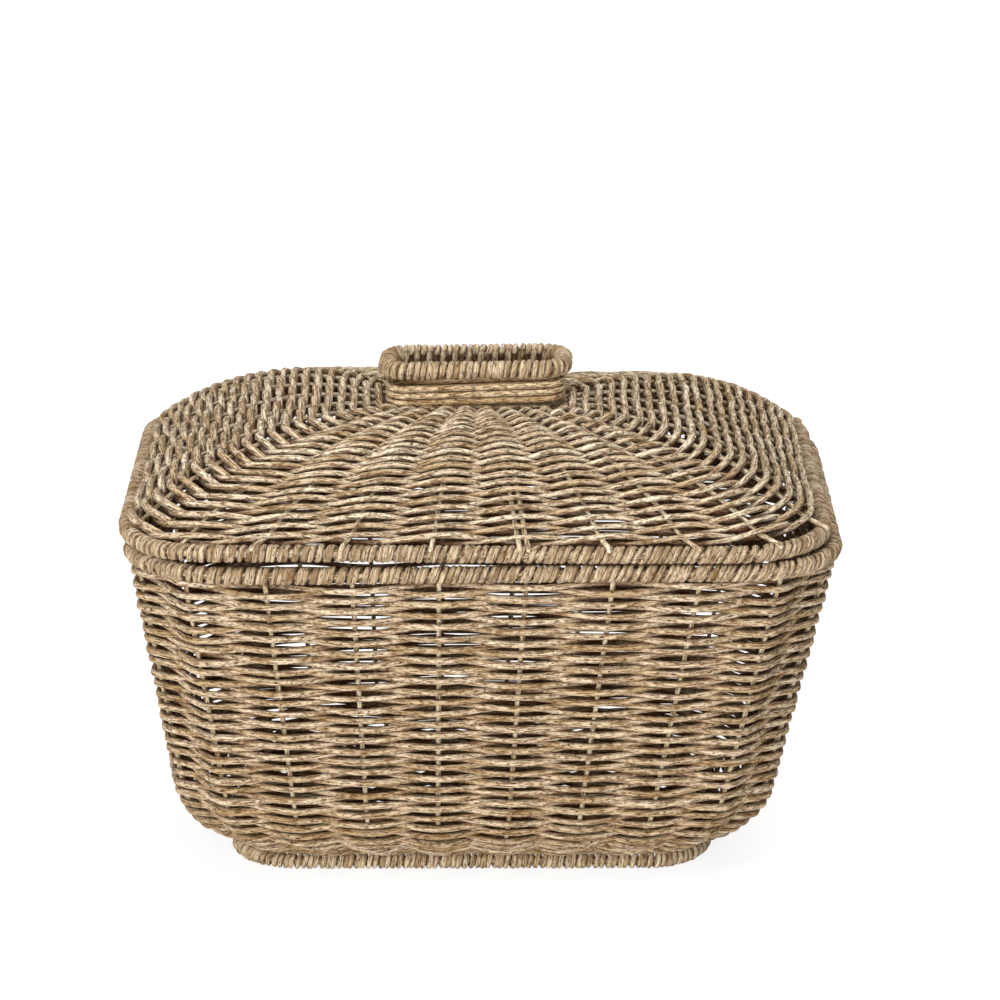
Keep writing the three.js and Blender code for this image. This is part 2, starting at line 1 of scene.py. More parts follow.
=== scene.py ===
import math
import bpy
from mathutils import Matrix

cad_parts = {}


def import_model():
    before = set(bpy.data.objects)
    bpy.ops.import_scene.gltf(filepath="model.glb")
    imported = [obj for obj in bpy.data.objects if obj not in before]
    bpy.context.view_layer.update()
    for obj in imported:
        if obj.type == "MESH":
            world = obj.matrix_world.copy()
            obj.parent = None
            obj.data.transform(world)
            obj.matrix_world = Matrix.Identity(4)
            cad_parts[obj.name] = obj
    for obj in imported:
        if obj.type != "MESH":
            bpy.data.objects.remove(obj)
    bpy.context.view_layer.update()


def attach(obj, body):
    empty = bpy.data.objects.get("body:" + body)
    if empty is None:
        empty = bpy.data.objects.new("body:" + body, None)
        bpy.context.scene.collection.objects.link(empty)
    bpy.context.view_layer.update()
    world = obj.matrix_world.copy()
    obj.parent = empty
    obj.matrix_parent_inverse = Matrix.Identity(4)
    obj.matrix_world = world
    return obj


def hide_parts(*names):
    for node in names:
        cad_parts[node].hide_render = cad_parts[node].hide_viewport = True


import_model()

import zlib

import bpy
import numpy as np
from mathutils import Vector

# Sizes in millimetres that are those of the solids
MM = 0.001
RIM_LENGTH = 430.0
RIM_DEPTH = 330.0
RIM_CORNER = 65.0
RIM_Z = 209.2
RIM_TUBE = 10.8
RIM_HOOP = 5.4
WALL_LEAN = math.radians(11)
BEND_RADIUS = 45.0
BASE_Z = 14.86
CORNER_TIGHTENING = 0.3
FOOT_LENGTH = 293.0
FOOT_DEPTH = 191.0
FOOT_CORNER = 42.0
FOOT_HOOP = 4.4
STAKE = 3.0
WEFT = 4.0
GAP = 0.3
DOME_RISE = 48.5
DOME_POWER = 2.3
COLLAR_LENGTH = 120.0
COLLAR_DEPTH = 53.0
COLLAR_REED = 4.0
COLLAR_REEDS = 3
HANDLE_CORE = 4.8

# Sizes that follow the photograph, a little off those of the solids
FOOT_TUBE = 9.8
END_POWER = 2.9
COLLAR_CORNER = 12.0
COLLAR_INSET = 6.5
COLLAR_SWELL = 0.2
HANDLE_CORNER = 13.0
HANDLE_TUBE = 11.6
HANDLE_RAISE = 2.9

# How the two rims bow apart: nothing at the corners, more on the left than on the right
RIM_BOW = 0.6
BOW_POWER = 4
BOW_LEAN = 3.0
BOW_MOST = 3.5

# How the hand-made basket stands askew: sideways shifts and changes of length
LID_SHIFT = -3.8
RIM_SHIFT = 0.6
FOOT_SHIFT = -6.8
LID_STRETCH = 0.984
RIM_STRETCH = 0.992
FOOT_STRETCH = 1.006

# Other uneven forms: flattened bottom corners, taut wall rows, slants and a swelling of the lid
LEFT_FLATTENING = 9.5
RIGHT_FLATTENING = 6.0
TAUTNESS = 0.9
HANDLE_SLANT = math.tan(math.radians(0.7))
COLLAR_SLANT = math.tan(math.radians(1.8))
SWELLING = 4.2
SWELLING_PLACE = (-92.0, 45.0)
SWELLING_REACH = (60.0, 55.0)

# Stakes and ribs: how many stand in a quarter of the way round, the first half a pitch from its start
FRONT_STAKES = 3
CORNER_STAKES = 2
SIDE_STAKES = 2
FRONT_SHARE = 0.45
STAKE_OFFSET = 0.5
QUARTERS = 4
QUARTER_STAKES = FRONT_STAKES + CORNER_STAKES + SIDE_STAKES
STAKES = QUARTERS * QUARTER_STAKES
QUARTER_PLACES = (0, FRONT_STAKES, QUARTER_STAKES)
QUARTER_SHARES = (0, FRONT_SHARE, 1)

# Fineness of the meshes, and the seed of all random draws
STEPS_PER_STAKE = 12
STEPS_PER_TURN = 14
SIDES = 8
DOME_STEPS = 200
SEED = 7

# Derived sizes
HALF_PI = math.pi / 2
THICK = STAKE / 2 + WEFT
SWING = (STAKE + WEFT) / 2
LAYER = STAKE + GAP
BEND_Z = BASE_Z + BEND_RADIUS
STRAIGHT = (RIM_Z - BEND_Z + BEND_RADIUS * math.sin(WALL_LEAN)) / math.cos(WALL_LEAN)
BEND_LENGTH = BEND_RADIUS * (HALF_PI - WALL_LEAN)
BEND_INSET = RIM_TUBE / 2 + STRAIGHT * math.sin(WALL_LEAN) + BEND_RADIUS * math.cos(WALL_LEAN)
WALL_RUN = STRAIGHT + BEND_LENGTH
LID_RIM_Z = RIM_Z + RIM_TUBE + GAP
CROWN_Z = LID_RIM_Z + DOME_RISE
COLLAR_Z = CROWN_Z + THICK + GAP + COLLAR_REED / 2
COLLAR_LAYER = COLLAR_REED + GAP
HANDLE_INSET = (HANDLE_TUBE - COLLAR_REED) / 2
HANDLE_LIFT = math.sqrt(((HANDLE_TUBE + COLLAR_REED) / 2) ** 2 - HANDLE_INSET ** 2)
HANDLE_Z = COLLAR_Z + COLLAR_LAYER * (COLLAR_REEDS - 1) + HANDLE_LIFT
FOOT_Z = FOOT_TUBE / 2
UP = (0.0, 0.0, 1.0)
DOWN = (0.0, 0.0, -1.0)


# Rounded rectangles: half length, half depth and corner radius

def inset_line(length, depth, corner, inset):
    return length / 2 - inset, depth / 2 - inset, corner - inset


def wall_line(inset):
    """The wall's outline at a distance in from the rims' outer edge."""
    return RIM_LENGTH / 2 - inset, RIM_DEPTH / 2 - inset, RIM_CORNER - CORNER_TIGHTENING * inset


RIM_LINE = inset_line(RIM_LENGTH, RIM_DEPTH, RIM_CORNER, RIM_TUBE / 2)
FOOT_LINE = inset_line(FOOT_LENGTH, FOOT_DEPTH, FOOT_CORNER, FOOT_TUBE / 2)
CROWN_LINE = inset_line(COLLAR_LENGTH, COLLAR_DEPTH, COLLAR_DEPTH / 2, COLLAR_REED)
COLLAR_LINE = (COLLAR_LENGTH / 2 - COLLAR_INSET, COLLAR_DEPTH / 2 - COLLAR_REED / 2, COLLAR_CORNER)
HANDLE_LINE = (COLLAR_LENGTH / 2 - HANDLE_TUBE / 2, COLLAR_DEPTH / 2 - HANDLE_TUBE / 2, HANDLE_CORNER)
DOME_RUN = (RIM_LINE[0] - CROWN_LINE[0] + RIM_LINE[1] - CROWN_LINE[1]) / 2


def unit(v):
    return v / np.linalg.norm(v, axis=-1, keepdims=True)


def draws(name):
    """The random numbers of one piece, the same in every run."""
    return np.random.default_rng([SEED, zlib.crc32(name.encode())])


def between(values, x):
    """Values at whole numbers, eased from one to the next and repeated round and round."""
    first = np.floor(x).astype(int)
    ease = (1 - np.cos(np.pi * (x - first))) / 2
    count = len(values)
    return values[first % count] * (1 - ease) + values[(first + 1) % count] * ease


def uneven(rng, spread, place, count=STAKES):
    """Factors about 1 that change slowly along a reed."""
    return 1 + between(rng.normal(0, spread, count), place)


def quarter_lengths(line):
    """A rounded rectangle's half long flat, its corner's arc and the length of a quarter of it."""
    half_x, half_y, radius = line
    flat_x = half_x - radius
    return flat_x, radius * HALF_PI, flat_x + radius * HALF_PI + half_y - radius


def perimeter(line):
    return QUARTERS * quarter_lengths(line)[2]


def quarter_place(length, u):
    """The quadrant of each share u of the way round, and its distance from the middle of the long flat."""
    turn = (u - np.floor(u)) * QUARTERS
    quadrant = np.minimum(np.floor(turn), QUARTERS - 1)
    share = turn - quadrant
    return quadrant, length * np.where(quadrant % 2 == 0, share, 1 - share)


def quarter_point(line, along):
    """Points of a quarter and the angles of its normals, from the middle of the long flat."""
    half_x, half_y, radius = line
    flat_x, _, quarter = quarter_lengths(line)
    angle = np.clip((along - flat_x) / radius, 0, HALF_PI)
    x = np.minimum(along, flat_x) + radius * np.sin(angle)
    y = np.minimum(quarter - along, half_y - radius) + radius * np.cos(angle)
    return np.stack([x, y], -1), angle


def in_quadrant(quadrant, points):
    """A quarter's points turned to their quadrants, at height 0."""
    sign_x = np.where(quadrant < 2, 1, -1)
    sign_y = np.where((quadrant == 1) | (quadrant == 2), 1, -1)
    return np.stack([sign_x * points[:, 0], sign_y * points[:, 1], np.zeros(len(points))], -1)


def outline(line, u):
    """Points and outward normals of a rounded rectangle, from the middle of the front towards +X."""
    quadrant, along = quarter_place(quarter_lengths(line)[2], u)
    points, angle = quarter_point(line, along)
    normals = np.stack([np.sin(angle), np.cos(angle)], -1)
    return in_quadrant(quadrant, points), in_quadrant(quadrant, normals)


def taut_outline(line, u):
    """The outline drawn tight from one stake to the next."""
    quadrant, share = quarter_place(1.0, u)
    place = np.interp(share, QUARTER_SHARES, QUARTER_PLACES)
    first = np.clip(np.floor(place - STAKE_OFFSET), 0, QUARTER_STAKES - 2) + STAKE_OFFSET
    quarter = quarter_lengths(line)[2]
    start, end = (
        quarter_point(line, quarter * np.interp(stake, QUARTER_PLACES, QUARTER_SHARES))[0]
        for stake in (first, first + 1))
    return in_quadrant(quadrant, start + (end - start) * (place - first)[:, None])


def stake_share(place):
    """The share of the way round at a stake's number: a wider pitch along the front and back."""
    quadrant, along = quarter_place(QUARTER_STAKES, (np.asarray(place, float) + STAKE_OFFSET) / STAKES)
    share = np.interp(along, QUARTER_PLACES, QUARTER_SHARES)
    return (quadrant + np.where(quadrant % 2 == 0, share, 1 - share)) / QUARTERS


def rim_bow(u):
    """How far a rim bows away from the other one."""
    flat_x, arc, quarter = quarter_lengths(RIM_LINE)
    _, along = quarter_place(quarter, u)
    corner = flat_x + arc / 2
    to_corner = np.where(along < corner, along / corner, (quarter - along) / (quarter - corner))
    leaning = np.clip(1 - BOW_LEAN * np.sin(2 * np.pi * u), 0, BOW_MOST)
    return RIM_BOW * (1 - to_corner ** BOW_POWER) * leaning


def cornered(normals):
    """1 where a level normal points out of a corner, 0 along the flats."""
    return (2 * normals[:, 0] * normals[:, 1]) ** 2


def wall_point(u, down):
    """The basket's middle surface and its outward normal, at a distance down from the rim's centre line."""
    down = np.broadcast_to(down, u.shape)
    straight = np.minimum(down, STRAIGHT)
    lean = WALL_LEAN + np.maximum(down - STRAIGHT, 0) / BEND_RADIUS
    bent = down > STRAIGHT
    straight_inset = RIM_TUBE / 2 + straight * math.sin(WALL_LEAN)
    straight_height = RIM_Z - straight * math.cos(WALL_LEAN)
    inset = np.where(bent, BEND_INSET - BEND_RADIUS * np.cos(lean), straight_inset)
    height = np.where(bent, BEND_Z - BEND_RADIUS * np.sin(lean), straight_height)
    line = wall_line(inset)
    points, normals = outline(line, u)
    points[:, 2] = height - rim_bow(u) * (1 - straight / STRAIGHT)
    bent_share = np.clip((down - STRAIGHT) / BEND_LENGTH, 0, 1)
    tight = taut_outline(line, u) - points * (1, 1, 0)
    points += tight * (TAUTNESS * (1 - bent_share))[:, None]
    most = np.where(normals[:, 0] > 0, RIGHT_FLATTENING, LEFT_FLATTENING)
    flattening = most * cornered(normals) * np.sin(np.pi * bent_share)
    points -= normals * flattening[:, None]
    normals = normals * np.cos(lean)[:, None]
    normals[:, 2] -= np.sin(lean)
    return points, normals


# Distances up the front of the dome, for shares of the way from the rim in to the crown
DOME_SHARES = np.linspace(0, 1, DOME_STEPS)
DOME_SLOPES = DOME_RISE * DOME_POWER * (1 - DOME_SHARES) ** (DOME_POWER - 1) / DOME_RUN
DOME_STRIDES = DOME_RUN * np.hypot(1, DOME_SLOPES[:-1]) * np.diff(DOME_SHARES)
DOME_LENGTHS = np.concatenate([[0], np.cumsum(DOME_STRIDES)])
LID_RUN = DOME_LENGTHS[-1]


def lid_point(u, up):
    """The lid's middle surface and its outward normal, at a distance up the dome from the rim."""
    share = np.interp(np.broadcast_to(up, u.shape), DOME_LENGTHS, DOME_SHARES)
    half_x, half_y = (rim + (crown - rim) * share for rim, crown in zip(RIM_LINE[:2], CROWN_LINE[:2]))
    corner = COLLAR_CORNER + (RIM_LINE[2] - COLLAR_CORNER) * (1 - share) ** 2
    points, normals = outline((half_x, half_y, corner), u)
    power = DOME_POWER + (END_POWER - DOME_POWER) * normals[:, 0] ** 2
    points[:, 2] = LID_RIM_Z + DOME_RISE * (1 - (1 - share) ** power) + rim_bow(u) * (1 - share)
    from_swelling = (points[:, :2] - SWELLING_PLACE) / SWELLING_REACH
    points[:, 2] += SWELLING * np.exp(-(from_swelling ** 2).sum(1))
    slope = np.arctan(DOME_RISE * power * (1 - share) ** (power - 1) / DOME_RUN)
    normals = normals * np.sin(slope)[:, None]
    normals[:, 2] += np.cos(slope)
    return points, normals


# Reeds: each is a tube with its own straight texture space
TEXTURE_RANGE = 1000
# TOP_WEIGHT: how much a reed's outer side counts, beside its depth in the weave, in where painted shade
# falls
TOP_WEIGHT = 1.5
END_SHRINK = 0.62
END_REACH = 0.45


def reed(path, up, wide, high, rng, tint=None, out=None, closed=False):
    """A tube along path, in half sizes: wide across and high along up.

    out is how far out of the middle of a weave it lies, and with the reed's outer side it sets how much
    painted shade the reed gets."""
    count = len(path)
    ahead = np.roll(path, -1, 0) - np.roll(path, 1, 0) if closed else np.gradient(path, axis=0)
    tangent = unit(ahead)
    across = unit(np.cross(tangent, up))
    upright = np.cross(across, tangent)
    wide = np.broadcast_to(wide, count).astype(float)
    high = np.broadcast_to(high, count).astype(float)
    out = np.full(count, THICK) if out is None else out
    tint = np.full(count, rng.random()) if tint is None else tint
    steps = np.linalg.norm(np.diff(path, axis=0), axis=1)
    along = np.concatenate([[0], np.cumsum(steps)])
    rows = (path, across, upright, wide, high, out, tint)
    if closed:
        order = np.append(np.arange(count), 0)
        path, across, upright, wide, high, out, tint = (row[order] for row in rows)
        along = np.append(along, along[-1] + np.linalg.norm(path[-1] - path[-2]))
    else:
        path, across, upright, wide, high, out, tint, along = rounded_ends(tangent, *rows, along)
    angle = np.arange(SIDES) * 2 * np.pi / SIDES
    side = wide[:, None] * np.cos(angle)
    top = high[:, None] * np.sin(angle)
    rings = path[:, None] + side[..., None] * across[:, None] + top[..., None] * upright[:, None]
    start = rng.random() * TEXTURE_RANGE
    lengths = np.repeat(along[:, None] + start, SIDES, 1)
    return {
        "rings": rings,
        "space": np.stack([lengths, side, top], -1),
        "tint": np.repeat(tint[:, None], SIDES, 1),
        # Mask for painted shade: 1 on the outer top of a reed, less the deeper it lies in the weave
        "out_of_shade": np.clip(0.5 + (out[:, None] + TOP_WEIGHT * top) / (2 * THICK), 0, 1),
        "along": along,
        "closed": closed,
    }


def rounded_ends(tangent, path, across, upright, wide, high, out, tint, along):
    """Adds one smaller ring past each end."""
    first = path[0] - tangent[0] * wide[0] * END_REACH
    last = path[-1] + tangent[-1] * wide[-1] * END_REACH
    grown = [np.concatenate([a[:1], a, a[-1:]]) for a in (across, upright, wide, high, out, tint)]
    for size in grown[2:4]:
        size[0] *= END_SHRINK
        size[-1] *= END_SHRINK
    path = np.concatenate([[first], path, [last]])
    ends = wide[0] * END_REACH
    along = np.concatenate([[along[0] - ends], along, [along[-1] + ends]])
    return [path, *grown, along]


def sit(x, z, body):
    """Where a body's points at x and height z sit along the basket's length."""
    if body == "lid":
        return x * LID_STRETCH + LID_SHIFT
    height = z / RIM_Z
    stretch = FOOT_STRETCH + (RIM_STRETCH - FOOT_STRETCH) * height
    return x * stretch + FOOT_SHIFT + (RIM_SHIFT - FOOT_SHIFT) * height


# Meshes: the reeds of a piece in one, with attributes for the material and a map for a bake
AROUND = np.arange(SIDES)
AFTER = (AROUND + 1) % SIDES
ATLAS_MARGIN = 0.08
ATTRIBUTES = (("space", "FLOAT_VECTOR", "vector", 3), ("tint", "FLOAT", "value", 1),
              ("out_of_shade", "FLOAT", "value", 1))


def bake_map(reeds):
    """Each face's place in the bake: the tubes' skins, end to end, cut into shelves one above another."""
    total = sum(r["along"][-1] - r["along"][0] for r in reeds)
    shelves = max(1, round(math.sqrt(total / (np.pi * WEFT))))
    longest = max(np.diff(r["along"]).max() for r in reeds)
    shelf = total / shelves + longest
    tall = (1 - 2 * ATLAS_MARGIN) / SIDES / (shelves + 1)
    strips = []
    reach = 0.0
    for r in reeds:
        place = reach + r["along"] - r["along"][0]
        level = np.floor(place[:-1] / (total / shelves))
        left = (place[:-1] - level * total / shelves) / shelf
        right = (place[1:] - level * total / shelves) / shelf
        low = (level[:, None] + ATLAS_MARGIN + (1 - 2 * ATLAS_MARGIN) * AROUND / SIDES) / (shelves + 1)
        u = np.stack([left, right, right, left], -1)[:, None].repeat(SIDES, 1)
        v = np.stack([low, low, low + tall, low + tall], -1)
        strips.append(np.stack([u, v], -1).reshape(-1, 2))
        if not r["closed"]:
            for end, turn in ((0, AROUND), (-1, AROUND[::-1])):
                strips.append(np.stack([np.full(SIDES, left[end]), low[end][turn]], -1))
        reach = place[-1]
    return np.concatenate(strips)


def tube_faces(reeds):
    """The points of every face, tube by tube with its end caps last, and each face's count of points."""
    corners, sizes = [], []
    base = 0
    for r in reeds:
        count = len(r["along"])
        row = base + np.arange(count - 1)[:, None] * SIDES
        following = row + SIDES
        if r["closed"]:
            following[-1] = base
        quads = np.stack([row + AROUND, following + AROUND, following + AFTER, row + AFTER], -1)
        corners.append(quads.reshape(-1))
        sizes.append(np.full(quads.shape[0] * SIDES, quads.shape[-1]))
        if not r["closed"]:
            for ring, turn in ((0, AROUND), (count - 1, AROUND[::-1])):
                corners.append(base + ring * SIDES + turn)
                sizes.append(np.array([SIDES]))
        base += (count - 1 if r["closed"] else count) * SIDES
    return np.concatenate(corners), np.concatenate(sizes)


def mesh_of(name, reeds, body):
    loops, sizes = tube_faces(reeds)
    kept = [(r, slice(None, -1) if r["closed"] else slice(None)) for r in reeds]
    points = np.concatenate([r["rings"][keep].reshape(-1, 3) for r, keep in kept])
    points[:, 0] = sit(points[:, 0], points[:, 2], body)
    points *= MM
    starts = np.concatenate([[0], np.cumsum(sizes)[:-1]])
    mesh = bpy.data.meshes.new(name)
    mesh.vertices.add(len(points))
    mesh.vertices.foreach_set("co", points.astype(np.float32).ravel())
    mesh.loops.add(len(loops))
    mesh.loops.foreach_set("vertex_index", loops.astype(np.int32))
    mesh.polygons.add(len(sizes))
    mesh.polygons.foreach_set("loop_start", starts.astype(np.int32))
    for key, kind, field, width in ATTRIBUTES:
        data = np.concatenate([r[key][keep].reshape(-1, width) for r, keep in kept])
        mesh.attributes.new(key, kind, "POINT").data.foreach_set(field, data.astype(np.float32).ravel())
    uv = mesh.uv_layers.new(name="OFBake")
    uv.data.foreach_set("uv", bake_map(reeds).astype(np.float32).ravel())
    mesh.update(calc_edges=True)
    mesh.shade_smooth()
    return mesh


def piece(name, reeds, body, node, slot, material=None):
    """A piece of the model that stands for one solid."""
    obj = bpy.data.objects.new(name, mesh_of(name, reeds, body))
    bpy.context.scene.collection.objects.link(obj)
    obj.data.materials.append(MATERIALS[material or slot])
    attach(obj, body)
    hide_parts(node)


# Shader nodes
SRGB_KNEE = 0.04045
SRGB_SLOPE = 12.92
SRGB_OFFSET = 0.055
SRGB_POWER = 2.4
MIX_FACTOR, MIX_A, MIX_B, MIX_RESULT = 0, 6, 7, 2
NOISE_DETAIL = 2.0
NOISE_ROUGHNESS = 0.55


def linear(red, green, blue):
    """A colour given in display values of 0 to 255."""
    share = np.array([red, green, blue]) / 255
    curve = ((share + SRGB_OFFSET) / (1 + SRGB_OFFSET)) ** SRGB_POWER
    level = np.where(share <= SRGB_KNEE, share / SRGB_SLOPE, curve)
    return (*level, 1.0)


def add_node(tree, kind, inputs=None, **settings):
    node = tree.nodes.new(kind)
    for name, value in settings.items():
        setattr(node, name, value)
    for name, value in (inputs or {}).items():
        if isinstance(value, bpy.types.NodeSocket):
            tree.links.new(value, node.inputs[name])
        else:
            node.inputs[name].default_value = value
    return node


def mix_colour(tree, factor, a, b):
    inputs = {MIX_FACTOR: factor, MIX_A: a, MIX_B: b}
    return add_node(tree, "ShaderNodeMix", inputs, data_type="RGBA").outputs[MIX_RESULT]


def math_node(tree, operation, a, b=0.5):
    return add_node(tree, "ShaderNodeMath", {0: a, 1: b}, operation=operation).outputs[0]


def remap(tree, value, low, high, to_low=0.0, to_high=1.0):
    inputs = {"Value": value, "From Min": low, "From Max": high, "To Min": to_low, "To Max": to_high}
    return add_node(tree, "ShaderNodeMapRange", inputs, interpolation_type="SMOOTHSTEP").outputs[0]


def attribute(tree, name, kind):
    return add_node(tree, "ShaderNodeAttribute", attribute_name=name).outputs[kind]


def stretched_noise(tree, space, scale, detail=NOISE_DETAIL, roughness=NOISE_ROUGHNESS):
    """Noise in a reed's own space, with its own scale along and across the reed."""
    scaled = add_node(tree, "ShaderNodeVectorMath", {0: space, 1: scale}, operation="MULTIPLY").outputs[0]
    inputs = {"Vector": scaled, "Scale": 1.0, "Detail": detail, "Roughness": roughness}
    return add_node(tree, "ShaderNodeTexNoise", inputs).outputs[0]


# Rattan: scales of its marks per millimetre along and across, bounds between which each sets in, and shares
STREAK_SCALE = (0.16, 1.0, 1.0)
STREAK_DETAIL = 4.0
STREAK_ROUGHNESS = 0.65
STREAK_BOUNDS = (0.45, 0.6)
BLOTCH_SCALE = (0.05, 0.25, 0.25)
BLOTCH_WEIGHT = 1.4
TINT_WEIGHT = 0.3
TONE_BOUNDS = (0.45, 1.2)
PATCH_SCALE = (0.09, 0.12, 0.12)
PATCH_BOUNDS = (0.6, 0.7)
PATCH_SHARE = 0.6
FLECK_SCALE = (0.42, 1.5, 1.5)
FLECK_ROUGHNESS = 0.6
FLECK_RAMP = 0.07
FLECK_SHARE = 0.9
FLECK_DEPTH = 0.4
# Painted shade along each reed's edges: where it sets in and how strong
EDGE_SHADE_BOUNDS = (1.2, 2.0)
EDGE_SHADE_SHARE = 0.3
# Painted shade on sides of reeds deep in the weave: where it sets in, how strong, and where it eases on the
# faces at the very back
DEPTH_SHADE_BOUNDS = (0.2, 0.85)
DEPTH_SHADE_SHARE = 0.9
SHADE_EASING_BOUNDS = (0.0, 0.36)
SHADE_EASING_SHARE = 0.5
ROUGH_BOUNDS = (0.3, 0.7)
ROUGHNESS = (0.5, 0.75)
SHINE = 0.03
BUMP_STRENGTH = 0.9
BUMP_DEPTH = 0.6
BROWN = linear(108, 74, 38)
# Brown of the flecks, also the colour of the painted shade along reeds' edges
FLECK_AND_EDGE_SHADE_BROWN = linear(62, 35, 9)
# Colour of the painted shade deep in the weave
DEPTH_SHADE_COLOUR = linear(84, 37, 0)


def rattan(name, dark, pale, speckle, streaked):
    """Rattan with streaks along its fibres, patches and brown flecks, and painted shade along its edges and
    on sides that lie deep in the weave.
    """
    material = bpy.data.materials.new(name)
    material.use_nodes = True
    tree = material.node_tree
    shader = tree.nodes["Principled BSDF"]
    space = attribute(tree, "space", "Vector")
    tint = attribute(tree, "tint", "Fac")
    out_of_shade = attribute(tree, "out_of_shade", "Fac")
    streaks = stretched_noise(tree, space, STREAK_SCALE, STREAK_DETAIL, STREAK_ROUGHNESS)
    blotches = stretched_noise(tree, space, BLOTCH_SCALE)
    patches = stretched_noise(tree, space, PATCH_SCALE)
    flecks = stretched_noise(tree, space, FLECK_SCALE, roughness=FLECK_ROUGHNESS)
    tint_part = math_node(tree, "MULTIPLY", tint, TINT_WEIGHT)
    blotch_part = math_node(tree, "MULTIPLY", blotches, BLOTCH_WEIGHT)
    tone = math_node(tree, "ADD", tint_part, blotch_part)
    colour = mix_colour(tree, remap(tree, tone, *TONE_BOUNDS), linear(*dark), linear(*pale))
    streak_share = math_node(tree, "MULTIPLY", remap(tree, streaks, *STREAK_BOUNDS), streaked)
    colour = mix_colour(tree, streak_share, colour, BROWN)
    patch_share = math_node(tree, "MULTIPLY", remap(tree, patches, *PATCH_BOUNDS), PATCH_SHARE)
    colour = mix_colour(tree, patch_share, colour, BROWN)
    flecked = remap(tree, flecks, speckle, speckle + FLECK_RAMP)
    fleck_share = math_node(tree, "MULTIPLY", flecked, FLECK_SHARE)
    colour = mix_colour(tree, fleck_share, colour, FLECK_AND_EDGE_SHADE_BROWN)
    # Painted shade along the reed's edges
    across = add_node(tree, "ShaderNodeSeparateXYZ", {0: space}).outputs["Y"]
    edge_shade_share = remap(tree, math_node(tree, "ABSOLUTE", across), *EDGE_SHADE_BOUNDS, 0.0, EDGE_SHADE_SHARE)
    colour = mix_colour(tree, edge_shade_share, colour, FLECK_AND_EDGE_SHADE_BROWN)
    # Painted shade on sides deep in the weave, eased on the faces at the very back
    depth_shade = math_node(tree, "MULTIPLY", remap(tree, out_of_shade, *DEPTH_SHADE_BOUNDS, 1.0, 0.0), DEPTH_SHADE_SHARE)
    shade_easing = remap(tree, out_of_shade, *SHADE_EASING_BOUNDS, SHADE_EASING_SHARE, 1.0)
    colour = mix_colour(tree, math_node(tree, "MULTIPLY", depth_shade, shade_easing), colour, DEPTH_SHADE_COLOUR)
    tree.links.new(colour, shader.inputs["Base Color"])
    tree.links.new(remap(tree, streaks, *ROUGH_BOUNDS, *ROUGHNESS), shader.inputs["Roughness"])
    shader.inputs["Specular IOR Level"].default_value = SHINE
    fleck_pits = math_node(tree, "MULTIPLY", fleck_share, FLECK_DEPTH)
    height = math_node(tree, "SUBTRACT", 1.0, math_node(tree, "ADD", streaks, fleck_pits))
    relief = {"Height": height, "Strength": BUMP_STRENGTH, "Distance": BUMP_DEPTH * MM}
    bump = add_node(tree, "ShaderNodeBump", relief)
    tree.links.new(bump.outputs[0], shader.inputs["Normal"])
    return material


# Looks: a name, the darkest and the palest colour, where flecks set in and how strong the streaks are
LOOKS = {
    "reed": ("kubu reed", (184, 157, 117), (232, 214, 186), 0.57, 0.85),
    "lid": ("lid reed", (198, 173, 135), (250, 235, 208), 0.57, 0.85),
    "stake": ("stake reed", (206, 186, 150), (246, 232, 204), 0.62, 0.85),
    "binding": ("binding strand", (152, 130, 98), (217, 198, 169), 0.57, 0.65),
    "handle": ("handle strand", (164, 139, 104), (232, 213, 183), 0.58, 0.6),
    # The foot's look is the binding's made lighter: painted light for the foot, which lies in the shade
    # under the wall
    "foot": ("foot binding with painted light", (190, 162, 122), (254, 237, 205), 0.58, 0.65),
    "collar": ("collar reed", (186, 158, 118), (243, 222, 187), 0.57, 0.85),
}
MATERIALS = {key: rattan(*look) for key, look in LOOKS.items()}


# Rows of weave: their slow waves, the gap at a row's ends and the width between stakes and over them
WAVES = 4
WAVE_TURNS = (2, 9)
WAVE_LEAN = 0.16
ROW_END = 0.02
SQUEEZED_WIDTH = 0.95
CROSSING_WIDTH = 0.07


def wander(u, level, rng, size):
    """A slow drift of the rows up and down, nearly the same for neighbouring rows."""
    drift = np.zeros_like(u)
    for turns in rng.integers(*WAVE_TURNS, WAVES):
        phase = rng.random() * 2 * np.pi
        drift += size * np.cos(2 * np.pi * turns * u + level * rng.uniform(-WAVE_LEAN, WAVE_LEAN) + phase)
    return drift


def row_places(start):
    """Stake numbers along one turn of a row, from just past one stake round to just before it again."""
    return start + np.linspace(ROW_END, STAKES - ROW_END, STAKES * STEPS_PER_STAKE + 1)


def pressed(swing):
    """How a weft's width changes: full where it crosses a stake, squeezed by its neighbours midway."""
    return SQUEEZED_WIDTH + CROSSING_WIDTH * swing ** 2


# Weave of the basket: pitches, spreads of its rows, and the two rows that close it underneath
ROW_PITCH = 3.68
UPSETT_PITCH = 3.4
WALL_DRIFT = 0.28
WALL_JITTER = 0.5
WALL_SLIP = 0.24
WALL_SWING_SPREAD = 0.05
WALL_SIZE_SPREAD = 0.07
CORNER_FILL = 0.14
EDGE_DROP = 1.14
EDGE_WAVE = 0.06
EDGE_SIZE_SPREAD = 0.05
EDGE_ROWS = (1.6, 0.4)


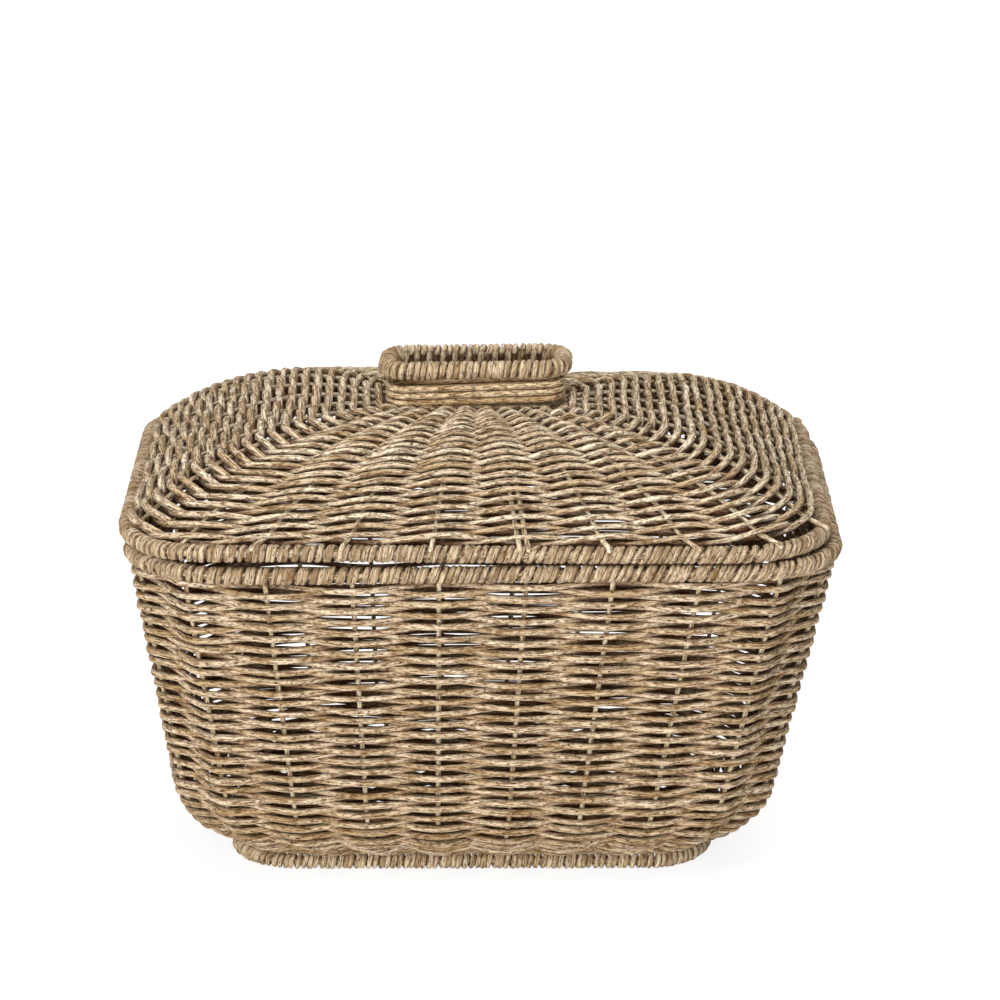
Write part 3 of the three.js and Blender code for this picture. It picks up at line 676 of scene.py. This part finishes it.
def chased_row(row, level, rng):
    """One turn of the wall's plain weave: out over one stake and in behind the next, its ends inside."""
    start = 2 * rng.integers(0, STAKES // 2) + (row + 1) % 2
    place = row_places(start)
    u = stake_share(place)
    swing = np.cos(np.pi * (place + row))
    drift = wander(u, level, np.random.default_rng(SEED), WALL_DRIFT)
    jitter = between(rng.normal(0, WALL_JITTER, STAKES), place)
    slip = rng.normal(0, WALL_SLIP)
    points, normals = wall_point(u, np.clip(level + drift + jitter + slip, 0, WALL_RUN))
    out = SWING * swing * uneven(rng, WALL_SWING_SPREAD, place)
    size = WEFT / 2 * rng.normal(1, WALL_SIZE_SPREAD) * uneven(rng, WALL_SIZE_SPREAD, place)
    path = points + normals * out[:, None]
    filled = 1 + CORNER_FILL * cornered(outline(RIM_LINE, u)[1])
    return reed(path, normals, size * filled * pressed(swing), size, rng, out=out)


def edge_row(level, rng):
    """A closing turn under the base's edge, which lies on the foot ring."""
    place = row_places(rng.integers(0, STAKES))
    u = stake_share(place)
    points, normals = wall_point(u, np.full_like(u, level))
    out = SWING * (EDGE_DROP + EDGE_WAVE * np.cos(2 * np.pi * place))
    size = WEFT / 2 * uneven(rng, EDGE_SIZE_SPREAD, place)
    return reed(points + normals * out[:, None], normals, size, size, rng, out=out)


def wall_rows():
    first = RIM_TUBE / 2 + WEFT / 2
    wall = np.arange(first, STRAIGHT, ROW_PITCH)
    upsett = np.arange(wall[-1] + UPSETT_PITCH, WALL_RUN, UPSETT_PITCH)
    rng = draws("wall")
    rows = [chased_row(row, level, rng) for row, level in enumerate([*wall, *upsett])]
    rows += [edge_row(WALL_RUN - WEFT * reeds, rng) for reeds in EDGE_ROWS]
    count = len(wall)
    piece("wall_weave_reeds_1", rows[:count:2], "basket", "wall_weave", "reed")
    piece("wall_weave_reeds_2", rows[1:count:2], "basket", "wall_weave", "reed")
    piece("upsett_weave_reeds", rows[count:], "basket", "upsett_weave", "reed")


# Weave of the lid: pairs of strands, their spreads, and how they change at the lid's ends
PAIR_ROWS = 20
FIRST_PAIR_REEDS = 1.3
FIRST_PAIR = RIM_TUBE / 2 + WEFT * FIRST_PAIR_REEDS
TWIST = 1.85
LID_DRIFT = 0.3
LID_JITTER = 0.35
LID_SIZE = 0.94
LID_SIZE_SPREAD = 0.05
LID_UNEVENNESS = 0.06
END_TWIST = 0.35
END_FULLNESS = 0.22
END_HOLD = 2.2
THINNING = 0.15
THINNING_FADE = 45.0

# The lid's front corners: a gap to the rim at the right one, rows close to the rim and thicker at the left
OPEN_CORNER_PAST = 0.2
OPEN_CORNER = float(stake_share(FRONT_STAKES + OPEN_CORNER_PAST))
FULL_CORNER = float(stake_share(-FRONT_STAKES - CORNER_STAKES))
CORNER_REACH = 0.038
CORNER_FADE = 22.0
CORNER_FULLNESS = 0.3
OPEN_GAP = 2.8
FULL_GAP = -4.2


def near_corner(u, level, corner):
    """1 at a corner on the lid's lowest row, fading along the row and up the lid."""
    return np.exp(-((u - np.floor(u) - corner) / CORNER_REACH) ** 2 - (level - FIRST_PAIR) / CORNER_FADE)


def corner_gap(u, level):
    """How much further than elsewhere the lid's lower rows stand off its rim."""
    return OPEN_GAP * near_corner(u, level, OPEN_CORNER) + FULL_GAP * near_corner(u, level, FULL_CORNER)


def twined_pair(level, rng):
    """Two strands of the lid's weave that turn about each other between the ribs."""
    strands = []
    jitter = rng.normal(0, LID_JITTER, STAKES)
    for strand in range(2):
        sign = 1 - 2 * strand
        start = 2 * rng.integers(0, STAKES // 2) + 1 - strand
        place = row_places(start)
        u = stake_share(place)
        swing = sign * np.cos(np.pi * place)
        on_end = outline(RIM_LINE, u)[1][:, 0] ** 2
        held = np.tanh(END_HOLD * swing) / math.tanh(END_HOLD)
        swing = swing + (held - swing) * on_end * (1 - level / LID_RUN)
        side = sign * np.sin(np.pi * place) * TWIST * (1 + (END_TWIST - 1) * on_end)
        drift = wander(u, level, np.random.default_rng(SEED + 1), LID_DRIFT)
        drift = drift + between(jitter, place) + corner_gap(u, level)
        points, normals = lid_point(u, np.clip(level + side + drift, 0, LID_RUN))
        out = SWING * swing
        size = WEFT / 2 * rng.normal(LID_SIZE, LID_SIZE_SPREAD) * uneven(rng, LID_UNEVENNESS, place)
        thinner = THINNING * (1 - on_end) * math.exp(-level / THINNING_FADE)
        fuller = END_FULLNESS * on_end + CORNER_FULLNESS * near_corner(u, level, FULL_CORNER)
        size = size * (1 + fuller - thinner)
        path = points + normals * out[:, None]
        strands.append(reed(path, normals, size * pressed(swing), size, rng, out=out))
    return strands


def lid_rows():
    rng = draws("lid")
    last = LID_RUN - WEFT
    pairs = [twined_pair(level, rng) for level in np.linspace(FIRST_PAIR, last, PAIR_ROWS)]
    for strand in range(2):
        name = "lid_weave_reeds_" + str(strand + 1)
        piece(name, [pair[strand] for pair in pairs], "lid", "lid_weave", "reed", "lid")


# Stakes and ribs
STAKE_KNOTS = 9
STAKE_SIZE_SPREAD = 0.04
STRAIGHT_STEPS = 40
BEND_STEPS = 16
BEND_START = 2
RIB_STEPS = 40
CROSSING_STEPS = 26
CROSSING_RAMP = 18.0
HIDDEN_END = RIM_HOOP / 2 + GAP
DOUBLED_RIB = "rib_cross_4"
DOUBLED_PITCH = 5.0


def side_path(surface, place, distances):
    points, _ = surface(np.full(len(distances), stake_share(place)), distances)
    return points


def sideways(place):
    """The direction along the rim at a stake."""
    _, normal = outline(RIM_LINE, np.array([stake_share(place)]))
    return np.cross(UP, normal[0])


def straight_reed(name, path, across, body, node, twin=0.0):
    """A stake or rib. twin is how far beside it a second reed runs, where it is doubled."""
    rng = draws(name)
    knots = np.linspace(0, STAKE_KNOTS - 1, len(path))
    size = STAKE / 2 * uneven(rng, STAKE_SIZE_SPREAD, knots, STAKE_KNOTS)
    sides = np.tile(across, (len(path), 1))
    shifts = (0.0, twin) if twin else (0.0,)
    reeds = [reed(path + sides * shift, sides, size, size, rng) for shift in shifts]
    piece(name, reeds, body, node, "stake")


# Rib tips: bent over the lid's rim where the rim's outward normal has an X between these bounds
TIP_SINK = 1.2
TIP_RADIUS = RIM_TUBE / 2 + STAKE / 2 - TIP_SINK
TIP_ANGLES = np.radians([38, 52, 66, 80, 94])
TIP_NORMALS = (-0.2, 0.98)
TIP_SPAN = 4 * RIM_TUBE


def rib_tip(place):
    """The end of a rib, bent over the top of the lid's rim in the rib's own direction, or hidden in it."""
    u = np.full(len(TIP_ANGLES), stake_share(place))
    points, normals = outline(RIM_LINE, u)
    if not TIP_NORMALS[0] < normals[0, 0] < TIP_NORMALS[1]:
        return side_path(lid_point, place, np.array([HIDDEN_END]))
    points[:, 2] = lid_rim_height(u)
    rib = side_path(lid_point, place, np.array([0.0, TIP_SPAN]))
    outward = unit((rib[0] - rib[1]) * (1, 1, 0))
    reach = TIP_RADIUS * np.cos(TIP_ANGLES) / (normals @ outward)
    return points + outward * reach[:, None] + np.outer(TIP_RADIUS * np.sin(TIP_ANGLES), UP)


def stake_tip(place):
    """The end of a stake, hidden in the basket's rim."""
    return side_path(wall_point, place, np.array([HIDDEN_END]))


def crossing_path(surface, tip, near, far, distances, lift):
    """From one side across to the other, changing layer just inside the edge."""
    down = np.concatenate([tip(near), side_path(surface, near, distances)])
    up = np.concatenate([tip(far), side_path(surface, far, distances)])[::-1]
    span = np.linalg.norm(up[0] - down[-1])
    share = np.linspace(0, 1, CROSSING_STEPS)[1:-1]
    middle = down[-1] + (up[0] - down[-1]) * share[:, None]
    inside = np.minimum(share, 1 - share) * span / CROSSING_RAMP
    middle[:, 2] += lift * (1 - np.cos(np.pi * np.clip(inside, 0, 1))) / 2
    return np.concatenate([down, middle, up])


def reed_set(prefix, surface, tip, distances, lift, body):
    """The stakes or the ribs: across, lengthways over or under those, and up the corners."""
    for number in range(2 * FRONT_STAKES):
        near = number - FRONT_STAKES
        far = STAKES * 3 // 2 - 1 - near
        path = crossing_path(surface, tip, near, far % STAKES, distances, 0)
        node = f"{prefix}_cross_{number + 1}"
        twin = DOUBLED_PITCH if node == DOUBLED_RIB else 0.0
        straight_reed(node + "_reed", path, sideways(near), body, node, twin)
    for number in range(2 * SIDE_STAKES):
        right = QUARTER_STAKES - SIDE_STAKES + number
        path = crossing_path(surface, tip, right, STAKES - 1 - right, distances, lift)
        node = f"{prefix}_long_{number + 1}"
        straight_reed(node + "_reed", path, sideways(right), body, node)
    number = 0
    for place in range(STAKES):
        fold = place % (2 * QUARTER_STAKES)
        in_quarter = min(fold, 2 * QUARTER_STAKES - 1 - fold)
        if FRONT_STAKES <= in_quarter < FRONT_STAKES + CORNER_STAKES:
            number += 1
            node = f"{prefix}_corner_{number}"
            path = np.concatenate([tip(place), side_path(surface, place, distances[:-1])])
            straight_reed(node + "_reed", path, sideways(place), body, node)


# Base weave: rows that run lengthways over and under the cross stakes
BASE_CLEARANCE = 0.75
BASE_STEP = 3.5
BASE_JITTER = 0.15
BASE_SWING = 0.9
BASE_SIZE = 0.96
BASE_SIZE_SPREAD = 0.04


def edge_point(place):
    """Where a stake ends its bend and runs in under the basket."""
    return side_path(wall_point, place, np.array([WALL_RUN]))[0]


def base_half_length(y):
    half_x, half_y, radius = wall_line(BEND_INSET)
    past = max(abs(y) - (half_y - radius), 0)
    return half_x - radius + math.sqrt(max(radius ** 2 - past ** 2, 0))


def base_rows():
    rng = draws("base")
    cross_x = [edge_point(place)[0] for place in range(-FRONT_STAKES, FRONT_STAKES)]
    long_places = range(QUARTER_STAKES - SIDE_STAKES, QUARTER_STAKES + SIDE_STAKES)
    long_y = [edge_point(place)[1] for place in long_places]
    pitch = cross_x[1] - cross_x[0]
    half_depth = RIM_DEPTH / 2 - BEND_INSET
    rows = []
    for row, y in enumerate(np.arange(-half_depth + WEFT, half_depth - WEFT / 2, WEFT)):
        if min(abs(y - line) for line in long_y) < WEFT * BASE_CLEARANCE:
            continue
        half = base_half_length(y) - WEFT / 2
        x = np.linspace(-half, half, int(half * 2 / BASE_STEP))
        swing = np.cos(np.pi * ((x - cross_x[0]) / pitch + row))
        sides = np.full_like(x, y + rng.normal(0, BASE_JITTER))
        path = np.stack([x, sides, BASE_Z - swing * SWING * BASE_SWING], -1)
        size = WEFT / 2 * rng.normal(BASE_SIZE, BASE_SIZE_SPREAD)
        rows.append(reed(path, np.tile(DOWN, (len(x), 1)), size, size, rng, out=SWING * swing))
    piece("base_weave_reeds", rows, "basket", "base_weave", "reed")


# Hoops and the strands wound round them: half sizes of strands, wide and thick, pitches and spreads
HOOP_STEPS = 160
COLLAR_STEPS = 120
RIM_STRAND = (1.75, 1.55)
RIM_STRAND_PITCH = 3.85
RIM_STRANDS = 2
RIM_STRAND_LEAN = 1.5
# Painted light: lifts of the strand tint that lighten the basket's rim, in the lid rim's shade, and the
# lid's rim
BASKET_RIM_PAINTED_LIGHT = 0.1
LID_RIM_PAINTED_LIGHT = 0.15
FOOT_STRAND = (1.62, 1.5)
FOOT_STRAND_PITCH = 3.6
HANDLE_STRAND = (1.98, 1.8)
HANDLE_TURNS = 69
LEAN_OFFSET = 0.1
SHIFT_SPREAD = 0.12
REACH_SPREAD = 0.2
WIDTH_SPREAD = 0.08
TINT_MIDDLE = 0.5
TINT_SPREAD = 0.25

# The handle's rear bar: how its turns reach out and down round the collar and sink on the inner side, with
# painted light on its turns and painted shade on the sunk ones
REAR_REACH = 0.17
REAR_PAINTED_LIGHT = 0.8
LASH_OUT = 3.0
LASH_DOWN = 5.0
LASH_SINK = 3.0
SINK_FROM = 0.75
SINK_FADE = 0.5
SINK_SHADE = 2.2


def basket_rim_height(u):
    return RIM_Z - rim_bow(u)


def lid_rim_height(u):
    return LID_RIM_Z + rim_bow(u)


def foot_height(u):
    return np.full_like(u, FOOT_Z)


def slanted(line, level, slant):
    """Heights along a ring that rises towards +X."""
    def heights(u):
        return level + slant * outline(line, u)[0][:, 0]
    return heights


def hoop(name, line, heights, diameter, body, node, slot="reed", steps=HOOP_STEPS, material=None):
    u = np.arange(steps) / steps
    points, normals = outline(line, u)
    points[:, 2] = heights(u)
    ring = reed(points, normals, diameter / 2, diameter / 2, draws(name), closed=True)
    piece(name, [ring], body, node, slot, material)


def lash(path, normals, u, turn):
    """Lets the rear bar's turns hold the collar too, while every other one sinks back on its inner side;
    gives the sunk turns painted shade and the rear turns painted light.
    """
    angle = 2 * np.pi * turn
    rear = np.abs(u - np.floor(u) - 0.5) < REAR_REACH
    even = np.floor(turn + 0.5) % 2 == 0
    held = np.where(rear, 1.0, 0.0)
    free = np.where(rear & ~even, 1.0, 0.0)
    below = np.maximum(-np.sin(angle), 0) * held
    path = path + below[:, None] * (normals * LASH_OUT - np.array([0, 0, LASH_DOWN]))
    sunk = np.maximum(-np.cos(angle), 0) * np.clip((SINK_FROM - np.sin(angle)) / SINK_FADE, 0, 1) * free
    path = path + (LASH_SINK * sunk)[:, None] * normals
    # A smaller out paints shade on the sunk turns; a tint lift paints light on the rear turns
    return path, THICK * (1 - SINK_SHADE * sunk), REAR_PAINTED_LIGHT * held


def winding(line, heights, tube, strand, pitch, rng,
            starts=1, ground=None, lean=0.0, lashed=False, painted_light_lift=0.0):
    """Strands wound round a ring, rising to the right on its outer side.

    lean tips them more on the right and less on the left, ground is a height that they don't go below, and
    a painted light lift raises the tint of every strand."""
    wide, thick = strand
    turns = round(perimeter(line) / (pitch * starts))
    strands = []
    for start in range(starts):
        turn = np.linspace(0, turns, turns * STEPS_PER_TURN + 1)[:-1]
        along_shift = between(rng.normal(0, SHIFT_SPREAD, turns), turn)
        angle = 2 * np.pi * turn
        u = (turn + start / starts + along_shift) / turns
        u = u + lean * (np.sin(2 * np.pi * u) + LEAN_OFFSET) * np.sin(angle) / perimeter(line)
        points, normals = outline(line, u)
        points[:, 2] = heights(u)
        radial = normals * np.cos(angle)[:, None]
        radial[:, 2] += np.sin(angle)
        reach = tube / 2 - thick + between(rng.normal(0, REACH_SPREAD, 2 * turns), 2 * turn)
        width = wide * uneven(rng, WIDTH_SPREAD, turn, turns)
        # Random tint of each turn, lifted by painted light
        tint = np.clip(between(rng.normal(TINT_MIDDLE, TINT_SPREAD, turns), turn), 0, 1) + painted_light_lift
        path = points + radial * reach[:, None]
        out = None
        if lashed:
            # The rear turns' tint lift is painted light
            path, out, painted_rear_light = lash(path, normals, u, turn)
            tint = tint + painted_rear_light
        wound = reed(path, radial, width, thick, rng, tint=tint, out=out, closed=True)
        if ground is not None:
            wound["rings"][..., 2] = np.maximum(wound["rings"][..., 2], ground)
        strands.append(wound)
    return strands


def rim(prefix, heights, body, painted_light_lift):
    strands = winding(
        RIM_LINE, heights, RIM_TUBE, RIM_STRAND, RIM_STRAND_PITCH, draws(prefix),
        starts=RIM_STRANDS, lean=RIM_STRAND_LEAN, painted_light_lift=painted_light_lift)
    piece(prefix + "_binding_strands", strands, body, prefix + "_binding", "binding")
    hoop(prefix + "_hoop_reed", RIM_LINE, heights, RIM_HOOP, body, prefix + "_hoop")


def foot():
    strands = winding(
        FOOT_LINE, foot_height, FOOT_TUBE, FOOT_STRAND, FOOT_STRAND_PITCH, draws("foot"), ground=0.0)
    # The lighter foot look is painted light for the shade under the wall
    piece("foot_binding_strands", strands, "basket", "foot_binding", "binding", "foot")
    hoop("foot_hoop_reed", FOOT_LINE, foot_height, FOOT_HOOP, "basket", "foot_hoop")


def handle():
    heights = slanted(HANDLE_LINE, HANDLE_Z + HANDLE_RAISE, HANDLE_SLANT)
    pitch = perimeter(HANDLE_LINE) / HANDLE_TURNS
    strands = winding(HANDLE_LINE, heights, HANDLE_TUBE, HANDLE_STRAND, pitch, draws("handle"), lashed=True)
    piece("handle_binding_strand", strands, "lid", "handle_binding", "binding", "handle")
    hoop("handle_hoop_reed", HANDLE_LINE, heights, HANDLE_CORE, "lid", "handle_hoop")


def collar():
    diameter = COLLAR_REED + COLLAR_SWELL
    for layer in range(COLLAR_REEDS):
        heights = slanted(COLLAR_LINE, COLLAR_Z + layer * COLLAR_LAYER, COLLAR_SLANT)
        node = f"collar_reed_{layer + 1}"
        hoop(node + "_bare", COLLAR_LINE, heights, diameter, "lid", node, "stake", COLLAR_STEPS, "collar")


# Crown panel: half sizes of its reeds, wide and thick, and their pitch
CROWN_REED = (1.55, 1.25)
CROWN_RAISE = 1.3
CROWN_START = 1.5
CROWN_PITCH = 3.2
CROWN_INSET = 1
CROWN_STEPS = 24


def crown():
    rng = draws("crown")
    half_x, half_y, radius = CROWN_LINE
    level = CROWN_Z + STAKE / 2 + GAP + CROWN_RAISE
    rows = []
    for y in np.arange(-half_y + CROWN_START, half_y, CROWN_PITCH):
        half = half_x - radius + math.sqrt(radius ** 2 - y ** 2) - CROWN_INSET
        x = np.linspace(-half, half, CROWN_STEPS)
        path = np.stack([x, np.full_like(x, y), np.full_like(x, level)], -1)
        rows.append(reed(path, np.tile(UP, (len(x), 1)), *CROWN_REED, rng))
    piece("crown_mat_reeds", rows, "lid", "crown_mat", "reed")


# The whole basket
straight_distances = np.linspace(WEFT, STRAIGHT, STRAIGHT_STEPS)
bend_distances = STRAIGHT + np.linspace(BEND_START, BEND_LENGTH, BEND_STEPS)
stake_distances = np.concatenate([straight_distances, bend_distances])
rib_distances = np.linspace(RIM_TUBE + STAKE, LID_RUN, RIB_STEPS)
wall_rows()
lid_rows()
base_rows()
reed_set("stake", wall_point, stake_tip, stake_distances, LAYER, "basket")
reed_set("rib", lid_point, rib_tip, rib_distances, -LAYER, "lid")
rim("rim", basket_rim_height, "basket", BASKET_RIM_PAINTED_LIGHT)
rim("lid_rim", lid_rim_height, "lid", LID_RIM_PAINTED_LIGHT)
foot()
handle()
collar()
crown()


# Floor and surroundings: white where the camera sees them, but without that glow on the basket
WHITE = (1, 1, 1, 1)
FLOOR_SIZE = 4.0
FLOOR_LIT = (0.93, 0.93, 0.93, 1)
FLOOR_SHOWN = (0.3, 0.3, 0.3, 1)
FLOOR_GLOW = 0.85
WORLD_COLOUR = (1, 0.97, 0.93, 1)
WORLD_STRENGTH = 0.42


def seen_rays(tree):
    """1 for rays by which the camera sees a surface: straight, in a reflection or through glass."""
    path = add_node(tree, "ShaderNodeLightPath").outputs
    mirrored = math_node(tree, "MAXIMUM", path["Is Glossy Ray"], path["Is Transmission Ray"])
    return math_node(tree, "MAXIMUM", path["Is Camera Ray"], mirrored)


def floor():
    mesh = bpy.data.meshes.new("floor")
    corners = [(x * FLOOR_SIZE, y * FLOOR_SIZE, 0) for x, y in ((-1, -1), (1, -1), (1, 1), (-1, 1))]
    mesh.from_pydata(corners, [], [(0, 1, 2, 3)])
    obj = bpy.data.objects.new("floor", mesh)
    bpy.context.scene.collection.objects.link(obj)
    material = bpy.data.materials.new("pale floor")
    material.use_nodes = True
    tree = material.node_tree
    tree.nodes.clear()
    lit = add_node(tree, "ShaderNodeBsdfDiffuse", {"Color": FLOOR_LIT}).outputs[0]
    shown = add_node(tree, "ShaderNodeBsdfDiffuse", {"Color": FLOOR_SHOWN}).outputs[0]
    glow = add_node(tree, "ShaderNodeEmission", {"Color": WHITE, "Strength": FLOOR_GLOW}).outputs[0]
    pale = add_node(tree, "ShaderNodeAddShader", {0: shown, 1: glow}).outputs[0]
    surface = add_node(tree, "ShaderNodeMixShader", {0: seen_rays(tree), 1: lit, 2: pale}).outputs[0]
    add_node(tree, "ShaderNodeOutputMaterial", {"Surface": surface})
    mesh.materials.append(material)


def world():
    made = bpy.data.worlds.new("studio")
    bpy.context.scene.world = made
    made.use_nodes = True
    tree = made.node_tree
    tree.nodes.clear()
    dimmed = {"Color": WORLD_COLOUR, "Strength": WORLD_STRENGTH}
    dim = add_node(tree, "ShaderNodeBackground", dimmed).outputs[0]
    white = add_node(tree, "ShaderNodeBackground", {"Color": WHITE, "Strength": 1.0}).outputs[0]
    surface = add_node(tree, "ShaderNodeMixShader", {0: seen_rays(tree), 1: dim, 2: white}).outputs[0]
    add_node(tree, "ShaderNodeOutputWorld", {"Surface": surface})


# Lamps: place and aim in metres, size in metres, power in watts and colour
LAMPS = {
    "key": ((-1.1, -2.0, 1.8), (0, 0, 0.15), 1.2, 22, (1.0, 0.98, 0.95)),
    "fill": ((0.2, -0.8, 2.6), (0, 0, 0.15), 1.2, 28, (1.0, 0.98, 0.96)),
    "front": ((-0.9, -2.5, 0.28), (0, 0, 0.06), 0.5, 36, (1.0, 0.98, 0.96)),
    "rear": ((0.7, 2.3, 1.5), (0, 0, 0.12), 1.2, 19, (1.0, 0.98, 0.96)),
}


def soft_box(name, place, aim, size, power, colour):
    light = bpy.data.lights.new(name, "AREA")
    light.size = size
    light.energy = power
    light.color = colour
    obj = bpy.data.objects.new(name, light)
    bpy.context.scene.collection.objects.link(obj)
    obj.location = place
    obj.rotation_euler = (Vector(aim) - Vector(place)).to_track_quat("-Z", "Y").to_euler()


# The photograph's camera, and the pixel of its 1000 at which it shows the point it was fitted to
IMAGE = 1000
FOCUS_PIXEL = (482.0, 668.0)
FOCUS_Z = 98.0
FOCAL_PIXELS = 4498.8
VIEW_ELEVATION = math.radians(18.5)
VIEW_DISTANCE = 2800.0
SENSOR = 36.0
NEAREST = 0.05


def camera():
    """Stands where the photograph's camera stood, turned so that the fitted point is at its pixel."""
    forward = Vector((0, math.cos(VIEW_ELEVATION), -math.sin(VIEW_ELEVATION)))
    right = Vector((1, 0, 0))
    up = right.cross(forward)
    to_right = (IMAGE / 2 - FOCUS_PIXEL[0]) / FOCAL_PIXELS
    to_top = (FOCUS_PIXEL[1] - IMAGE / 2) / FOCAL_PIXELS
    data = bpy.data.cameras.new("camera")
    data.sensor_width = SENSOR
    data.lens = SENSOR * FOCAL_PIXELS / IMAGE
    data.clip_start = NEAREST
    obj = bpy.data.objects.new("camera", data)
    bpy.context.scene.collection.objects.link(obj)
    obj.location = (Vector((0, 0, FOCUS_Z)) - forward * VIEW_DISTANCE) * MM
    aim = forward + right * to_right + up * to_top
    obj.rotation_euler = aim.to_track_quat("-Z", "Y").to_euler()
    bpy.context.scene.camera = obj


floor()
world()
for name, lamp in LAMPS.items():
    soft_box(name, *lamp)
camera()
bpy.context.scene.view_settings.view_transform = "Standard"
